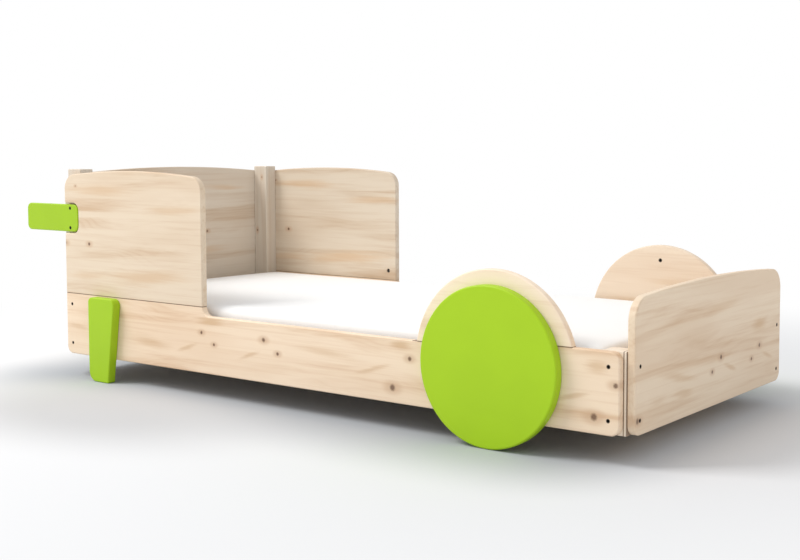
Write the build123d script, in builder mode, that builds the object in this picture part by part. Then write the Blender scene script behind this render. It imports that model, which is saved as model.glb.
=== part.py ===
"""Child's floor bed with fixed wheel discs, feet and handles, in millimetres.

X runs along the bed from the head end to the foot end, Y across it, with the front side at -Y.
Z is up from the floor. The origin is on the floor, under the centre of the overall box.
"""

from build123d import *
import os

os.makedirs("parts", exist_ok=True)

# Mattress and the room round it
mattress_length = 2000.0
mattress_width = 900.0
mattress_thickness = 140.0
mattress_above_rail = 6.0
mattress_side_gap = 12.0
mattress_end_gap = 2.0
mattress_crown = 5.0
mattress_side_bulge = 3.0
mattress_corner_radius = 45.0
mattress_top_radius = 20.0
mattress_bottom_radius = 12.0
rest_gap = 0.3

# Boards and posts
board = 22.0
post_length = 66.0
post_width = 52.0
ground_clearance = 75.0
head_height = 698.0
edge_round = 4.0
post_round = 3.0
seam_chamfer = 1.5

# Side rail, one board with a low stretch for climbing in
rail_raised_height = 206.0
entry_dip = 28.0
rail_setback = 8.0
rail_corner_radius = 25.0
rail_step_radius = 6.0

# Tall side panel at the head end
tall_panel_width = 670.0
tall_panel_below_posts = 3.0
tall_panel_arch_rise = 18.5
tall_panel_corner_radius = 50.0

# End boards
end_board_inset = 2.0
headboard_above_posts = 2.0
headboard_arch_rise = 22.0
headboard_corner_radius = 50.0
footboard_crown_height = 426.0
footboard_arch_rise = 17.0
footboard_corner_radius = 60.0
end_board_bottom_radius = 28.0

# Wheel disc, and the round guard board above the rail behind it
wheel_radius = 211.0
wheel_thickness = 30.0
wheel_edge_round = 5.0
wheel_from_foot_end = 370.0
guard_centre_height = 213.0
guard_radius = 248.0

# Tapered foot
foot_from_head_end = 152.0
foot_top_width = 133.0
foot_bottom_width = 96.0
foot_thickness = 30.0
foot_below_seam = 3.0
foot_inner_top_radius = 23.0
foot_outer_top_radius = 17.0
foot_outer_bottom_radius = 34.0
foot_toe_radius = 6.0

# Handle in its recess, which is open at the head end and leaves a skin on the panel's inner side
handle_reach = 211.0
handle_overlap = 66.0
handle_height = 92.0
handle_thickness = 15.0
handle_below_panel_crown = 161.0
handle_free_radius = 19.0
handle_inner_radius = 23.0
recess_gap = 5.0
recess_mouth_radius = 4.5
recess_skin = 5.0

# Slats and the ledges that carry them
ledge_thickness = 30.0
ledge_height = 45.0
ledge_end_gap = 3.0
slat_count = 15
slat_width = 80.0
slat_thickness = 17.0
slat_end_gap = 4.0
slat_chamfer = 2.0

# Bolts with sleeve heads, and the threaded inserts that hold them in the posts
bolt_edge_distance = 37.0
rail_bolt_inset = 30.0
end_bolt_inset = 26.0
headboard_bolt_below_crown = 100.0
bolt_diameter = 6.0
bolt_head_diameter = 8.0
bolt_head_length = 6.0
bolt_head_recess = 1.0
bolt_depth_in_post = 25.0
bolt_hex_size = 4.0
bolt_hex_depth = 3.0
insert_diameter = 10.0
insert_length = 18.0
bolt_clearance = 0.2
insert_clearance = 0.1
bore_run_out = 2.0

# Countersunk wood screws
screw_diameter = 5.0
screw_head_diameter = 9.0
screw_head_recess = 0.5
screw_clearance = 0.1
wheel_screw_length = 44.0
wheel_screw_circle = 202.0
wheel_screw_spread = 140.0
wheel_screw_drop = 60.0
foot_screw_length = 44.0
foot_screw_inset = 58.0
foot_screw_below_seam = 31.0
foot_screw_spacing = 90.0
handle_screw_length = 55.0
handle_screw_inset = 26.0
handle_screw_spacing = 66.0
ledge_screw_length = 42.0
ledge_screw_count = 7
ledge_screw_inset = 90.0
slat_screw_diameter = 4.0
slat_screw_head_diameter = 8.0
slat_screw_length = 32.0
ledge_screw_above_edge = 15.0

# Dowels, and the cam connector at the tall panel's lower corner
dowel_diameter = 8.0
dowel_length = 40.0
dowel_clearance = 0.1
dowel_end_room = 1.0
dowel_end_chamfer = 1.0
panel_dowel_inset = 120.0
post_dowel_depth_in_panel = 14.0
post_dowel_above_seam = 90.0
post_dowel_below_crown = 75.0
guard_dowel_spread = 120.0
cam_diameter = 15.0
cam_sunk = 4.0
cam_thickness = 11.0
cam_slot_width = 8.0
cam_driver_width = 3.0
cam_driver_length = 10.0
cam_driver_depth = 2.0
cam_rod_from_inner_face = 9.5
cam_from_panel_edge = 36.0
cam_above_seam = 34.0
cam_rod_diameter = 5.0
cam_rod_head_diameter = 7.0
cam_rod_head_length = 4.0
cam_rod_anchor = 11.0
cam_clearance = 0.1

# Places that follow from the sizes above
inner_half_width = mattress_width / 2 + mattress_side_gap
outer_half_width = inner_half_width + board
board_middle = inner_half_width + board / 2
post_inner_half = mattress_length / 2 + mattress_end_gap
post_outer_half = post_inner_half + post_length
rail_half_length = post_outer_half - rail_setback
bed_centre_x = (rail_half_length + handle_reach - post_outer_half - board) / 2
head_end = bed_centre_x - rail_half_length
foot_end = bed_centre_x + rail_half_length
head_post_face = bed_centre_x - post_outer_half
foot_post_face = bed_centre_x + post_outer_half
rail_top = ground_clearance + rail_raised_height
tall_panel_crown_height = head_height - tall_panel_below_posts
handle_centre_height = tall_panel_crown_height - handle_below_panel_crown
rail_low_top = rail_top - entry_dip
panel_end = head_end + tall_panel_width
panel_shoulder = tall_panel_crown_height - tall_panel_arch_rise
recess_bottom = handle_centre_height - handle_height / 2 - recess_gap
recess_top = handle_centre_height + handle_height / 2 + recess_gap
recess_end = head_end + handle_overlap + recess_gap
wheel_x = foot_end - wheel_from_foot_end
guard_left = wheel_x - (guard_radius**2 - (rail_low_top - guard_centre_height) ** 2) ** 0.5
guard_right = wheel_x + (guard_radius**2 - (rail_top - guard_centre_height) ** 2) ** 0.5
guard_crown = guard_centre_height + guard_radius
end_board_half_width = inner_half_width - end_board_inset
end_bolt_y = end_board_half_width - end_bolt_inset
foot_start = head_end + foot_from_head_end
foot_top = rail_top - foot_below_seam
mattress_top = rail_top + mattress_above_rail
mattress_bottom = mattress_top - mattress_thickness
slat_top = mattress_bottom - rest_gap
ledge_top = slat_top - slat_thickness
ledge_bottom = ledge_top - ledge_height
ledge_half_length = post_inner_half - ledge_end_gap
ledge_middle = inner_half_width - ledge_thickness / 2
slat_half_length = inner_half_width - slat_end_gap
slat_pitch = (mattress_length - slat_width) / (slat_count - 1)
first_slat = bed_centre_x - (mattress_length - slat_width) / 2
slat_places = [first_slat + slat_pitch * i for i in range(slat_count)]


def facing(direction, points):
    """Locations at the given points, with their Z axes along a direction."""
    return [Plane(origin=point, z_dir=direction).location for point in points]


# Where the fasteners sit on the front side, heads facing the way they are driven in from
bolt_heights = (ground_clearance + bolt_edge_distance, rail_top - bolt_edge_distance)
rail_bolt_spots = facing(
    (0, -1, 0),
    [
        (x, -outer_half_width, z)
        for x in (head_end + rail_bolt_inset, foot_end - rail_bolt_inset)
        for z in bolt_heights
    ],
)
headboard_bolt_spots = facing(
    (-1, 0, 0),
    [
        (head_post_face - board, y, z)
        for y in (-end_bolt_y, end_bolt_y)
        for z in (*bolt_heights, head_height - headboard_bolt_below_crown)
    ],
)
footboard_bolt_spots = facing(
    (1, 0, 0),
    [(foot_post_face + board, y, z) for y in (-end_bolt_y, end_bolt_y) for z in bolt_heights],
)
handle_screw_spots = facing(
    (0, -1, 0),
    [
        (head_end + handle_screw_inset, -inner_half_width - recess_skin - handle_thickness, z)
        for z in (
            handle_centre_height - handle_screw_spacing / 2,
            handle_centre_height + handle_screw_spacing / 2,
        )
    ],
)
wheel_screw_spots = facing(
    (0, 1, 0),
    [(wheel_x, -inner_half_width, wheel_radius + wheel_screw_circle)]
    + [
        (x, -inner_half_width, wheel_radius - wheel_screw_drop)
        for x in (wheel_x - wheel_screw_spread, wheel_x, wheel_x + wheel_screw_spread)
    ],
)
foot_screw_spots = facing(
    (0, 1, 0),
    [
        (foot_start + foot_screw_inset, -inner_half_width, rail_top - foot_screw_below_seam - drop)
        for drop in (0, foot_screw_spacing)
    ],
)
ledge_screw_step = 2 * (ledge_half_length - ledge_screw_inset) / (ledge_screw_count - 1)
ledge_screw_spots = facing(
    (0, 1, 0),
    [
        (
            bed_centre_x - ledge_half_length + ledge_screw_inset + ledge_screw_step * i,
            -inner_half_width + ledge_thickness,
            ledge_bottom + ledge_screw_above_edge,
        )
        for i in range(ledge_screw_count)
    ],
)
slat_screw_spots = facing((0, 0, 1), [(x, -ledge_middle, slat_top) for x in slat_places])
panel_dowel_spots = facing(
    (0, 0, 1),
    [
        (x, -board_middle, rail_top)
        for x in (head_end + panel_dowel_inset, panel_end - panel_dowel_inset)
    ],
)
post_dowel_spots = facing(
    (0, 1, 0),
    [
        (
            head_post_face + post_length / 2,
            -inner_half_width - post_dowel_depth_in_panel + dowel_length / 2,
            z,
        )
        for z in (
            rail_top + post_dowel_above_seam,
            tall_panel_crown_height - post_dowel_below_crown,
        )
    ],
)
guard_dowel_spots = facing(
    (0, 0, 1),
    [
        (wheel_x - guard_dowel_spread, -board_middle, rail_low_top),
        (wheel_x + guard_dowel_spread, -board_middle, rail_top),
    ],
)
cam_spots = facing(
    (0, 1, 0),
    [(panel_end - cam_from_panel_edge, -inner_half_width, rail_top + cam_above_seam)],
)
cam_rod_spots = facing(
    (0, 0, 1),
    [(panel_end - cam_from_panel_edge, -inner_half_width - cam_rod_from_inner_face, rail_top)],
)

# The planes of the rails' inner face and outer face on the front side
front_inner_face = Plane.XZ.offset(inner_half_width)
front_outer_face = Plane.XZ.offset(outer_half_width)


def save(piece, name):
    """Labels a finished piece and writes it."""
    piece.label = name
    export_step(piece, f"parts/{name}.step")


def save_both_sides(piece, name):
    """Writes a piece of the front side, and its mirror image on the back side."""
    save(piece, f"front_{name}")
    with BuildPart() as back:
        mirror(piece, about=Plane.XZ)
    save(back.part, f"back_{name}")


def corners(sketch, *points):
    """The corners of a sketch that are nearest to the given points."""
    return [sketch.vertices().sort_by_distance(point)[0] for point in points]


def face_outlines(piece, axis):
    """The edges round the two faces of a board that lie furthest out along an axis."""
    faces = piece.faces().sort_by(axis)
    return faces[0].edges() + faces[-1].edges()


def drill(spots, radius, depth):
    """Takes round holes out of the piece that is being built."""
    with Locations(*spots):
        Hole(radius, depth)


def bolt_holes(spots):
    """Takes counterbored bolt holes out of the board that is being built."""
    with Locations(*spots):
        CounterBoreHole(
            bolt_diameter / 2 + bolt_clearance,
            bolt_head_diameter / 2 + bolt_clearance,
            bolt_head_recess + bolt_head_length,
            board + bore_run_out,
        )


def insert_holes(spots):
    """Takes the bores for threaded inserts, and for the bolts' ends, out of a post."""
    drill(spots, insert_diameter / 2 + insert_clearance, board + insert_length)
    drill(spots, bolt_diameter / 2 + bolt_clearance, board + bolt_depth_in_post + bore_run_out)


def screw_holes(spots, length, diameter=screw_diameter, head_diameter=screw_head_diameter):
    """Takes countersunk screw holes out of the piece that is being built."""
    with Locations(*spots):
        CounterSinkHole(
            diameter / 2 + screw_clearance,
            head_diameter / 2 + screw_head_recess + screw_clearance,
            length + screw_head_recess + bore_run_out,
            counter_sink_angle=90,
        )


def dowel_holes(spots):
    """Takes the bores for dowels out of the piece that is being built."""
    with Locations(*spots):
        Cylinder(
            dowel_diameter / 2 + dowel_clearance,
            dowel_length + 2 * dowel_end_room,
            mode=Mode.SUBTRACT,
        )


def side_board(recessed):
    """The outline shared by the rail, the tall panel and the guard, with its edges rounded. It may
    be cut through where the handle sits."""
    with BuildPart() as whole:
        with BuildSketch(front_inner_face) as outline:
            with BuildLine():
                Polyline((head_end, ground_clearance), (foot_end, ground_clearance), (foot_end, rail_top))
                Line((foot_end, rail_top), (guard_right, rail_top))
                ThreePointArc((guard_right, rail_top), (wheel_x, guard_crown), (guard_left, rail_low_top))
                Line((guard_left, rail_low_top), (panel_end + entry_dip, rail_low_top))
                RadiusArc((panel_end + entry_dip, rail_low_top), (panel_end, rail_top), entry_dip)
                Line((panel_end, rail_top), (panel_end, panel_shoulder))
                ThreePointArc(
                    (panel_end, panel_shoulder),
                    ((head_end + panel_end) / 2, tall_panel_crown_height),
                    (head_end, panel_shoulder),
                )
                Line((head_end, panel_shoulder), (head_end, ground_clearance))
            make_face()
            rail_corners = corners(
                outline,
                (head_end, ground_clearance),
                (foot_end, ground_clearance),
                (foot_end, rail_top),
            )
            fillet(rail_corners, rail_corner_radius)
            panel_corners = corners(outline, (head_end, panel_shoulder), (panel_end, panel_shoulder))
            fillet(panel_corners, tall_panel_corner_radius)
            if recessed:
                with Locations((head_end, handle_centre_height)):
                    Rectangle(
                        2 * (handle_overlap + recess_gap),
                        handle_height + 2 * recess_gap,
                        mode=Mode.SUBTRACT,
                    )
                recess_corners = corners(
                    outline, (recess_end, recess_top), (recess_end, recess_bottom)
                )
                fillet(recess_corners, handle_inner_radius + recess_gap)
                mouth_corners = corners(outline, (head_end, recess_top), (head_end, recess_bottom))
                fillet(mouth_corners, recess_mouth_radius)
        extrude(amount=board)
        fillet(face_outlines(whole, Axis.Y), edge_round)
    return whole.part


def panel_region():
    """The block of space above the seam that belongs to the tall panel."""
    with BuildPart() as block:
        with BuildSketch(front_inner_face):
            with Locations((head_end, rail_top)):
                Rectangle(tall_panel_width, tall_panel_crown_height, align=Align.MIN)
        extrude(amount=board)
    return block.part


def recess_floor():
    """The skin that closes the handle's recess on the board's inner side."""
    with BuildPart() as skin:
        add(plain_side)
        with BuildSketch(front_inner_face):
            with Locations((head_end, handle_centre_height)):
                Rectangle(tall_panel_width, handle_height + 4 * recess_gap)
        extrude(amount=recess_skin, mode=Mode.INTERSECT)
    return skin.part


def guard_region():
    """The block of space above the stepped seam that belongs to the guard."""
    with BuildPart() as block:
        with BuildSketch(front_inner_face) as outline:
            with BuildLine():
                Polyline(
                    (wheel_x - guard_radius, rail_low_top),
                    (wheel_x, rail_low_top),
                    (wheel_x, rail_top),
                    (wheel_x + guard_radius, rail_top),
                    (wheel_x + guard_radius, guard_crown),
                    (wheel_x - guard_radius, guard_crown),
                    close=True,
                )
            make_face()
            fillet(corners(outline, (wheel_x, rail_low_top)), rail_step_radius)
        extrude(amount=board)
    return block.part


def guard_seam_groove():
    """The V-shaped groove along the outer edge of the guard's seam, cut in both boards."""
    side = seam_chamfer * 2**0.5
    low_length = wheel_x - guard_left
    high_length = guard_right - wheel_x
    with BuildPart() as groove:
        with Locations(Location((guard_left + low_length / 2, -outer_half_width, rail_low_top), (45, 0, 0))):
            Box(low_length, side, side)
        with Locations(Location((wheel_x + high_length / 2, -outer_half_width, rail_top), (45, 0, 0))):
            Box(high_length, side, side)
    return groove.part


plain_side = side_board(recessed=False)
recessed_side = side_board(recessed=True)

# Side rails
with BuildPart() as side_rail:
    add(plain_side)
    add(panel_region(), mode=Mode.SUBTRACT)
    add(guard_region(), mode=Mode.SUBTRACT)
    add(guard_seam_groove(), mode=Mode.SUBTRACT)
    seam = side_rail.faces().filter_by(Axis.Z).group_by(Axis.Z)[-1].sort_by(Axis.X)[0]
    chamfer(seam.edges(), seam_chamfer)
    bolt_holes(rail_bolt_spots)
    screw_holes(wheel_screw_spots[1:], wheel_screw_length)
    screw_holes(foot_screw_spots, foot_screw_length)
    screw_holes(ledge_screw_spots, ledge_screw_length)
    dowel_holes(panel_dowel_spots + guard_dowel_spots)
    drill(cam_rod_spots, cam_rod_diameter / 2 + cam_clearance, cam_rod_anchor + bore_run_out)
save_both_sides(side_rail.part, "side_rail")

# Tall side panels
with BuildPart() as tall_side_panel:
    add(recessed_side)
    add(panel_region(), mode=Mode.INTERSECT)
    add(recess_floor())
    chamfer(tall_side_panel.faces().sort_by(Axis.Z)[0].edges(), seam_chamfer)
    dowel_holes(panel_dowel_spots + post_dowel_spots)
    screw_holes(handle_screw_spots, handle_screw_length)
    drill(cam_spots, cam_diameter / 2 + cam_clearance, cam_sunk + cam_thickness)
    with Locations(*cam_rod_spots):
        Cylinder(
            cam_rod_head_diameter / 2 + cam_clearance,
            cam_above_seam,
            align=(Align.CENTER, Align.CENTER, Align.MIN),
            mode=Mode.SUBTRACT,
        )
save_both_sides(tall_side_panel.part, "tall_side_panel")

# Half-round wheel guards
with BuildPart() as wheel_guard:
    add(plain_side)
    add(guard_region(), mode=Mode.INTERSECT)
    add(guard_seam_groove(), mode=Mode.SUBTRACT)
    screw_holes(wheel_screw_spots[:1], wheel_screw_length)
    dowel_holes(guard_dowel_spots)
save_both_sides(wheel_guard.part, "wheel_guard")

# Wheel discs
with BuildPart() as wheel_disc:
    with BuildSketch(front_outer_face):
        with Locations((wheel_x, wheel_radius)):
            Circle(wheel_radius)
    extrude(amount=wheel_thickness)
    fillet(face_outlines(wheel_disc, Axis.Y), wheel_edge_round)
    screw_holes(wheel_screw_spots, wheel_screw_length)
save_both_sides(wheel_disc.part, "wheel_disc")

# Tapered feet
with BuildPart() as foot:
    with BuildSketch(front_outer_face) as foot_outline:
        with BuildLine():
            Polyline(
                (foot_start, foot_top),
                (foot_start + foot_top_width, foot_top),
                (foot_start + foot_bottom_width, 0),
                (foot_start, 0),
                close=True,
            )
        make_face()
        fillet(corners(foot_outline, (foot_start, foot_top)), foot_outer_top_radius)
        fillet(corners(foot_outline, (foot_start + foot_top_width, foot_top)), foot_inner_top_radius)
        fillet(corners(foot_outline, (foot_start + foot_bottom_width, 0)), foot_toe_radius)
        fillet(corners(foot_outline, (foot_start, 0)), foot_outer_bottom_radius)
    extrude(amount=foot_thickness)
    fillet(face_outlines(foot, Axis.Y), edge_round)
    screw_holes(foot_screw_spots, foot_screw_length)
save_both_sides(foot.part, "foot")

# Handles in the panels' recesses
with BuildPart() as handle:
    with BuildSketch(front_inner_face.offset(recess_skin)) as handle_outline:
        with Locations((head_end - handle_reach, handle_centre_height)):
            Rectangle(
                handle_reach + handle_overlap, handle_height, align=(Align.MIN, Align.CENTER)
            )
        fillet(handle_outline.vertices().group_by(Axis.X)[0], handle_free_radius)
        fillet(handle_outline.vertices().group_by(Axis.X)[-1], handle_inner_radius)
    extrude(amount=handle_thickness)
    fillet(face_outlines(handle, Axis.Y), edge_round)
    screw_holes(handle_screw_spots, handle_screw_length)
save_both_sides(handle.part, "handle")


def post(outer_face_x, inward, top):
    """A post with rounded corners, standing with one side on an end board's face."""
    with BuildPart() as piece:
        with BuildSketch(Plane.XY.offset(ground_clearance)):
            with Locations(
                (outer_face_x + inward * post_length / 2, -inner_half_width + post_width / 2)
            ):
                Rectangle(post_length, post_width)
        extrude(amount=top - ground_clearance)
        fillet(piece.edges().filter_by(Axis.Z) + piece.edges().group_by(Axis.Z)[-1], post_round)
    return piece.part


# Posts
with BuildPart() as head_post:
    add(post(head_post_face, 1, head_height))
    insert_holes(rail_bolt_spots + headboard_bolt_spots)
    screw_holes(handle_screw_spots, handle_screw_length)
    dowel_holes(post_dowel_spots)
save_both_sides(head_post.part, "head_post")

with BuildPart() as foot_post:
    add(post(foot_post_face, -1, rail_top))
    insert_holes(rail_bolt_spots + footboard_bolt_spots)
save_both_sides(foot_post.part, "foot_post")


def end_board(face_x, outward, crown_height, arch_rise, top_radius, bolt_spots):
    """An end board with an arched top, bolted on the end faces of two posts."""
    shoulder = crown_height - arch_rise
    plane = Plane(origin=(face_x, 0, 0), x_dir=(0, outward, 0), z_dir=(outward, 0, 0))
    with BuildPart() as piece:
        with BuildSketch(plane) as outline:
            with BuildLine():
                Polyline(
                    (-end_board_half_width, shoulder),
                    (-end_board_half_width, ground_clearance),
                    (end_board_half_width, ground_clearance),
                    (end_board_half_width, shoulder),
                )
                ThreePointArc(
                    (end_board_half_width, shoulder),
                    (0, crown_height),
                    (-end_board_half_width, shoulder),
                )
            make_face()
            fillet(outline.vertices().group_by(Axis.Y)[0], end_board_bottom_radius)
            fillet(outline.vertices().group_by(Axis.Y)[-1], top_radius)
        extrude(amount=board)
        fillet(face_outlines(piece, Axis.X), edge_round)
        bolt_holes(bolt_spots)
    return piece.part


# End boards
headboard = end_board(
    head_post_face,
    -1,
    head_height + headboard_above_posts,
    headboard_arch_rise,
    headboard_corner_radius,
    headboard_bolt_spots,
)
save(headboard, "headboard")
footboard = end_board(
    foot_post_face,
    1,
    footboard_crown_height,
    footboard_arch_rise,
    footboard_corner_radius,
    footboard_bolt_spots,
)
save(footboard, "footboard")

# Ledges that carry the slats
with BuildPart() as slat_ledge:
    with Locations((bed_centre_x, -ledge_middle, (ledge_bottom + ledge_top) / 2)):
        Box(2 * ledge_half_length, ledge_thickness, ledge_height)
    screw_holes(ledge_screw_spots, ledge_screw_length)
    screw_holes(slat_screw_spots, slat_screw_length, slat_screw_diameter, slat_screw_head_diameter)
save_both_sides(slat_ledge.part, "slat_ledge")

# Slats
for number, x in enumerate(slat_places, start=1):
    with BuildPart() as slat:
        with Locations((x, 0, (ledge_top + slat_top) / 2)):
            Box(slat_width, 2 * slat_half_length, slat_thickness)
        chamfer(slat.edges().filter_by(Axis.Y), slat_chamfer)
        slat_spots = facing((0, 0, 1), [(x, -ledge_middle, slat_top), (x, ledge_middle, slat_top)])
        screw_holes(slat_spots, slat_screw_length, slat_screw_diameter, slat_screw_head_diameter)
    save(slat.part, f"slat_{number:02d}")

# Mattress, with sides that swell a little at half height and a crowned top
with BuildPart() as mattress:
    for height, inset in (
        (0, mattress_side_bulge),
        (mattress_thickness / 2, 0),
        (mattress_thickness, mattress_side_bulge),
    ):
        with BuildSketch(Plane.XY.offset(mattress_bottom + height)):
            with Locations((bed_centre_x, 0)):
                RectangleRounded(
                    mattress_length - 2 * inset,
                    mattress_width - 2 * inset,
                    mattress_corner_radius - inset,
                )
    loft()
    with BuildSketch(Plane.YZ.offset(bed_centre_x)):
        with BuildLine():
            Polyline(
                (-mattress_width / 2, mattress_top - mattress_crown),
                (-mattress_width / 2, mattress_bottom),
                (mattress_width / 2, mattress_bottom),
                (mattress_width / 2, mattress_top - mattress_crown),
            )
            ThreePointArc(
                (mattress_width / 2, mattress_top - mattress_crown),
                (0, mattress_top),
                (-mattress_width / 2, mattress_top - mattress_crown),
            )
        make_face()
    extrude(amount=mattress_length / 2, both=True, mode=Mode.INTERSECT)
    fillet(mattress.faces().sort_by(Axis.Z)[-1].edges(), mattress_top_radius)
    fillet(mattress.faces().sort_by(Axis.Z)[0].edges(), mattress_bottom_radius)
save(mattress.part, "mattress")


def bolt():
    """A bolt with a sleeve head and a hexagon socket, pointing down, its seat's top at the origin."""
    with BuildPart() as piece:
        with Locations((0, 0, -bolt_head_recess)):
            Cylinder(
                bolt_head_diameter / 2,
                bolt_head_length,
                align=(Align.CENTER, Align.CENTER, Align.MAX),
            )
        with Locations((0, 0, -bolt_head_recess - bolt_head_length)):
            Cylinder(
                bolt_diameter / 2,
                board + bolt_depth_in_post - bolt_head_recess - bolt_head_length,
                align=(Align.CENTER, Align.CENTER, Align.MAX),
            )
        with BuildSketch(Plane.XY.offset(-bolt_head_recess)):
            RegularPolygon(bolt_hex_size / 2, 6, major_radius=False)
        extrude(amount=-bolt_hex_depth, mode=Mode.SUBTRACT)
    return piece.part


def screw(length, diameter=screw_diameter, head_diameter=screw_head_diameter):
    """A countersunk wood screw, pointing down, its countersink's mouth at the origin."""
    with BuildPart() as piece:
        with BuildSketch(Plane.XZ):
            with BuildLine():
                Polyline(
                    (0, -screw_head_recess),
                    (head_diameter / 2, -screw_head_recess),
                    (diameter / 2, -screw_head_recess - (head_diameter - diameter) / 2),
                    (diameter / 2, -screw_head_recess - length + diameter),
                    (0, -screw_head_recess - length),
                    close=True,
                )
            make_face()
        revolve(axis=Axis.Z)
    return piece.part


def dowel():
    """A dowel with chamfered ends, centred on the origin."""
    with BuildPart() as piece:
        Cylinder(dowel_diameter / 2, dowel_length)
        chamfer(piece.edges().filter_by(GeomType.CIRCLE), dowel_end_chamfer)
    return piece.part


def insert_sleeve():
    """A threaded insert, pointing down, its top one board's thickness below the origin."""
    with BuildPart() as piece:
        with BuildSketch(Plane.XY.offset(-board)):
            Circle(insert_diameter / 2)
            Circle(bolt_diameter / 2 + bolt_clearance, mode=Mode.SUBTRACT)
        extrude(amount=-insert_length)
    return piece.part


def save_fasteners(piece, spots, name, mirrored=True):
    """Writes one node of equal fasteners at their places, on both sides of the bed if mirrored."""
    with BuildPart() as group:
        with Locations(*spots):
            add(piece)
        if mirrored:
            mirror(about=Plane.XZ)
    save(group.part, name)


# Fasteners
save_fasteners(bolt(), rail_bolt_spots, "rail_bolts")
save_fasteners(
    bolt(), headboard_bolt_spots + footboard_bolt_spots, "end_board_bolts", mirrored=False
)
with BuildPart() as bolt_inserts:
    with Locations(*rail_bolt_spots):
        add(insert_sleeve())
    mirror(about=Plane.XZ)
    with Locations(*(headboard_bolt_spots + footboard_bolt_spots)):
        add(insert_sleeve())
save(bolt_inserts.part, "bolt_inserts")
save_fasteners(screw(handle_screw_length), handle_screw_spots, "handle_screws")
save_fasteners(screw(wheel_screw_length), wheel_screw_spots, "wheel_screws")
save_fasteners(screw(foot_screw_length), foot_screw_spots, "foot_screws")
save_fasteners(screw(ledge_screw_length), ledge_screw_spots, "ledge_screws")
save_fasteners(
    screw(slat_screw_length, slat_screw_diameter, slat_screw_head_diameter),
    slat_screw_spots,
    "slat_screws",
)
save_fasteners(
    dowel(), panel_dowel_spots + post_dowel_spots + guard_dowel_spots, "dowels"
)

# Connector rods, screwed into the rails' seam, and the cams that draw the tall panels down on them
with BuildPart() as connector_rod:
    Cylinder(
        cam_rod_diameter / 2,
        cam_rod_anchor + cam_above_seam - cam_rod_head_length,
        align=(Align.CENTER, Align.CENTER, Align.MIN),
    )
    with Locations((0, 0, cam_rod_anchor + cam_above_seam - cam_rod_head_length)):
        Cylinder(
            cam_rod_head_diameter / 2,
            cam_rod_head_length,
            align=(Align.CENTER, Align.CENTER, Align.MIN),
        )
with BuildPart() as connector_rods:
    with Locations(*cam_rod_spots):
        add(Pos(0, 0, -cam_rod_anchor) * connector_rod.part)
    mirror(about=Plane.XZ)
save(connector_rods.part, "connector_rods")

cam_face = front_inner_face.offset(cam_sunk)
with BuildPart() as connector_cams:
    with BuildSketch(cam_face):
        with Locations((panel_end - cam_from_panel_edge, rail_top + cam_above_seam)):
            Circle(cam_diameter / 2)
    extrude(amount=cam_thickness)
    with BuildSketch(Plane.XY.offset(rail_top)):
        with Locations((panel_end - cam_from_panel_edge, -inner_half_width - cam_rod_from_inner_face)):
            Circle(cam_slot_width / 2)
    extrude(amount=cam_above_seam + cam_clearance, mode=Mode.SUBTRACT)
    with BuildSketch(cam_face):
        with Locations((panel_end - cam_from_panel_edge, rail_top + cam_above_seam)):
            Rectangle(cam_driver_length, cam_driver_width)
            Rectangle(cam_driver_width, cam_driver_length)
    extrude(amount=cam_driver_depth, mode=Mode.SUBTRACT)
    mirror(about=Plane.XZ)
save(connector_cams.part, "connector_cams")
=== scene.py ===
import bpy
import bmesh
import math
from mathutils import Matrix, Vector


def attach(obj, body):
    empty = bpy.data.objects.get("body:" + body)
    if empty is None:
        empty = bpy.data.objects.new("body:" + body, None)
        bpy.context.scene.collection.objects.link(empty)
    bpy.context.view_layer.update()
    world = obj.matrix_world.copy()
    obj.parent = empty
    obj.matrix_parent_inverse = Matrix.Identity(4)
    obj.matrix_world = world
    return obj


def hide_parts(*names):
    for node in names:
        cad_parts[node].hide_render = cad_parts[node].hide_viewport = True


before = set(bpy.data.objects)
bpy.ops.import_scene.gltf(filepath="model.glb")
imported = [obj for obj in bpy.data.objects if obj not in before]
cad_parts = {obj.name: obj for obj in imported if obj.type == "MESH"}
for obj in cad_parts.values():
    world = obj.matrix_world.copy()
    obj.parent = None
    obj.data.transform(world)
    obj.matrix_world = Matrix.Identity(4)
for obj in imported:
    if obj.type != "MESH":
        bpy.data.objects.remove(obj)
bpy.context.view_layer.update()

# Camera. It stands low at the foot end's front corner and looks along the bed to the head end.
# Its frame is shifted, as in a picture that was cut out of a larger one.
look_down = 4.032
look_left = 35.727
camera_data = bpy.data.cameras.new("camera")
camera_data.sensor_width = 36.0
camera_data.lens = 55.13
camera_data.shift_x = -0.0815
camera_data.shift_y = -0.0563
camera_data.clip_start = 0.05
camera_data.clip_end = 200.0
camera = bpy.data.objects.new("camera", camera_data)
camera.location = (2.5422, -3.0496, 0.7672)
camera.rotation_euler = (math.radians(90 - look_down), 0, math.radians(look_left))
bpy.context.scene.collection.objects.link(camera)
bpy.context.scene.camera = camera
bpy.context.scene.view_settings.view_transform = "Standard"


# Studio. A pale floor that fades into a white surround, lit by a bright dome and one wide soft
# box high up beyond the head end's front corner. The floor's paint is darker near the bed and in
# an oval beside the head end: a painted shadow, added to the shadow that the lamps cast.
def make_material(name):
    """A new node material, with its tree emptied apart from the output."""
    material = bpy.data.materials.new(name)
    material.use_nodes = True
    tree = material.node_tree
    for old in list(tree.nodes):
        tree.nodes.remove(old)
    output = tree.nodes.new("ShaderNodeOutputMaterial")
    return material, tree, output


def add_node(tree, kind, values=None, **settings):
    """A new node with its settings and its input values."""
    new = tree.nodes.new(kind)
    for name, value in settings.items():
        setattr(new, name, value)
    for name, value in (values or {}).items():
        new.inputs[name].default_value = value
    return new


def soft_step(tree, source, low, high, bottom=0.0, top=1.0):
    """A smooth change from bottom to top as a value goes from low to high."""
    limits = {"From Min": low, "From Max": high, "To Min": bottom, "To Max": top}
    step = add_node(tree, "ShaderNodeMapRange", limits, interpolation_type="SMOOTHSTEP")
    tree.links.new(source, step.inputs["Value"])
    return step.outputs["Result"]


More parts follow.
